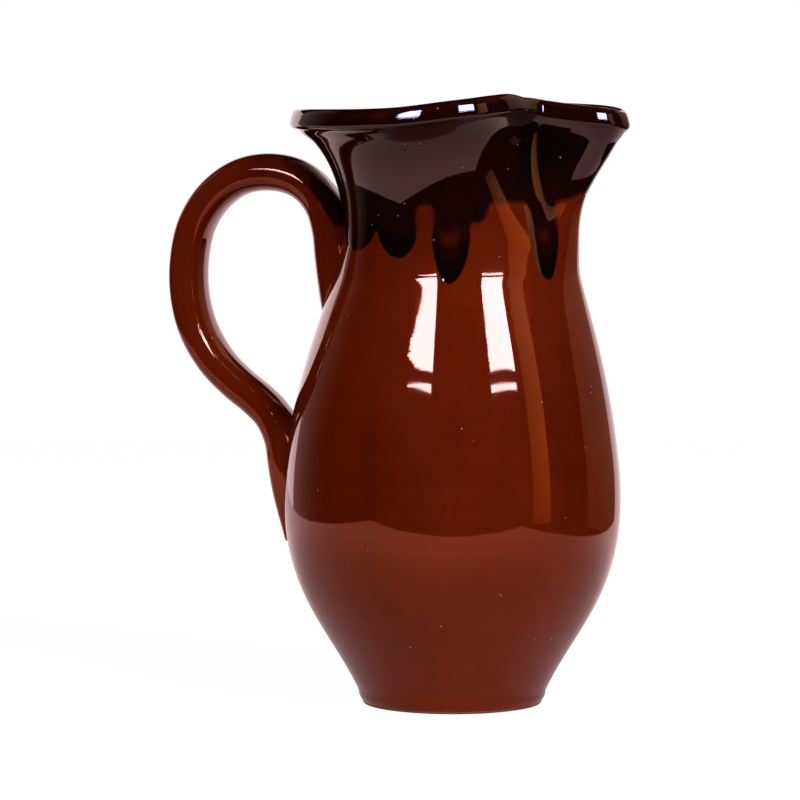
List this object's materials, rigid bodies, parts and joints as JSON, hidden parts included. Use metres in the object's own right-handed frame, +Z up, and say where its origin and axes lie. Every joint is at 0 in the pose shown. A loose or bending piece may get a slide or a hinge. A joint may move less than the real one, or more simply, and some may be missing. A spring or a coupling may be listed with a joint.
{
  "type": "clay jug",
  "caption": "Glazed clay jug with a round belly, narrow neck, flared mouth pinched into a pouring spout, a looped strap handle and dark glaze run down from the rim.",
  "frame": {"origin": "centre of the flat foot, at the height of the table", "axes": "+Z up, +X towards the spout, -X towards the handle"},
  "size_m": [0.1934, 0.1388, 0.2529],
  "materials": {
    "brown_glaze": "clear, glossy lead-brown glaze over red clay",
    "dark_glaze": "thick, glossy near-black glaze, amber where thin"
  },
  "bodies": {
    "root": {"thrown_body": "brown_glaze", "pulled_handle": "brown_glaze", "upper_handle_slip": "brown_glaze", "lower_handle_slip": "brown_glaze", "dark_glaze_collar": "dark_glaze"}
  },
  "joints": []
}
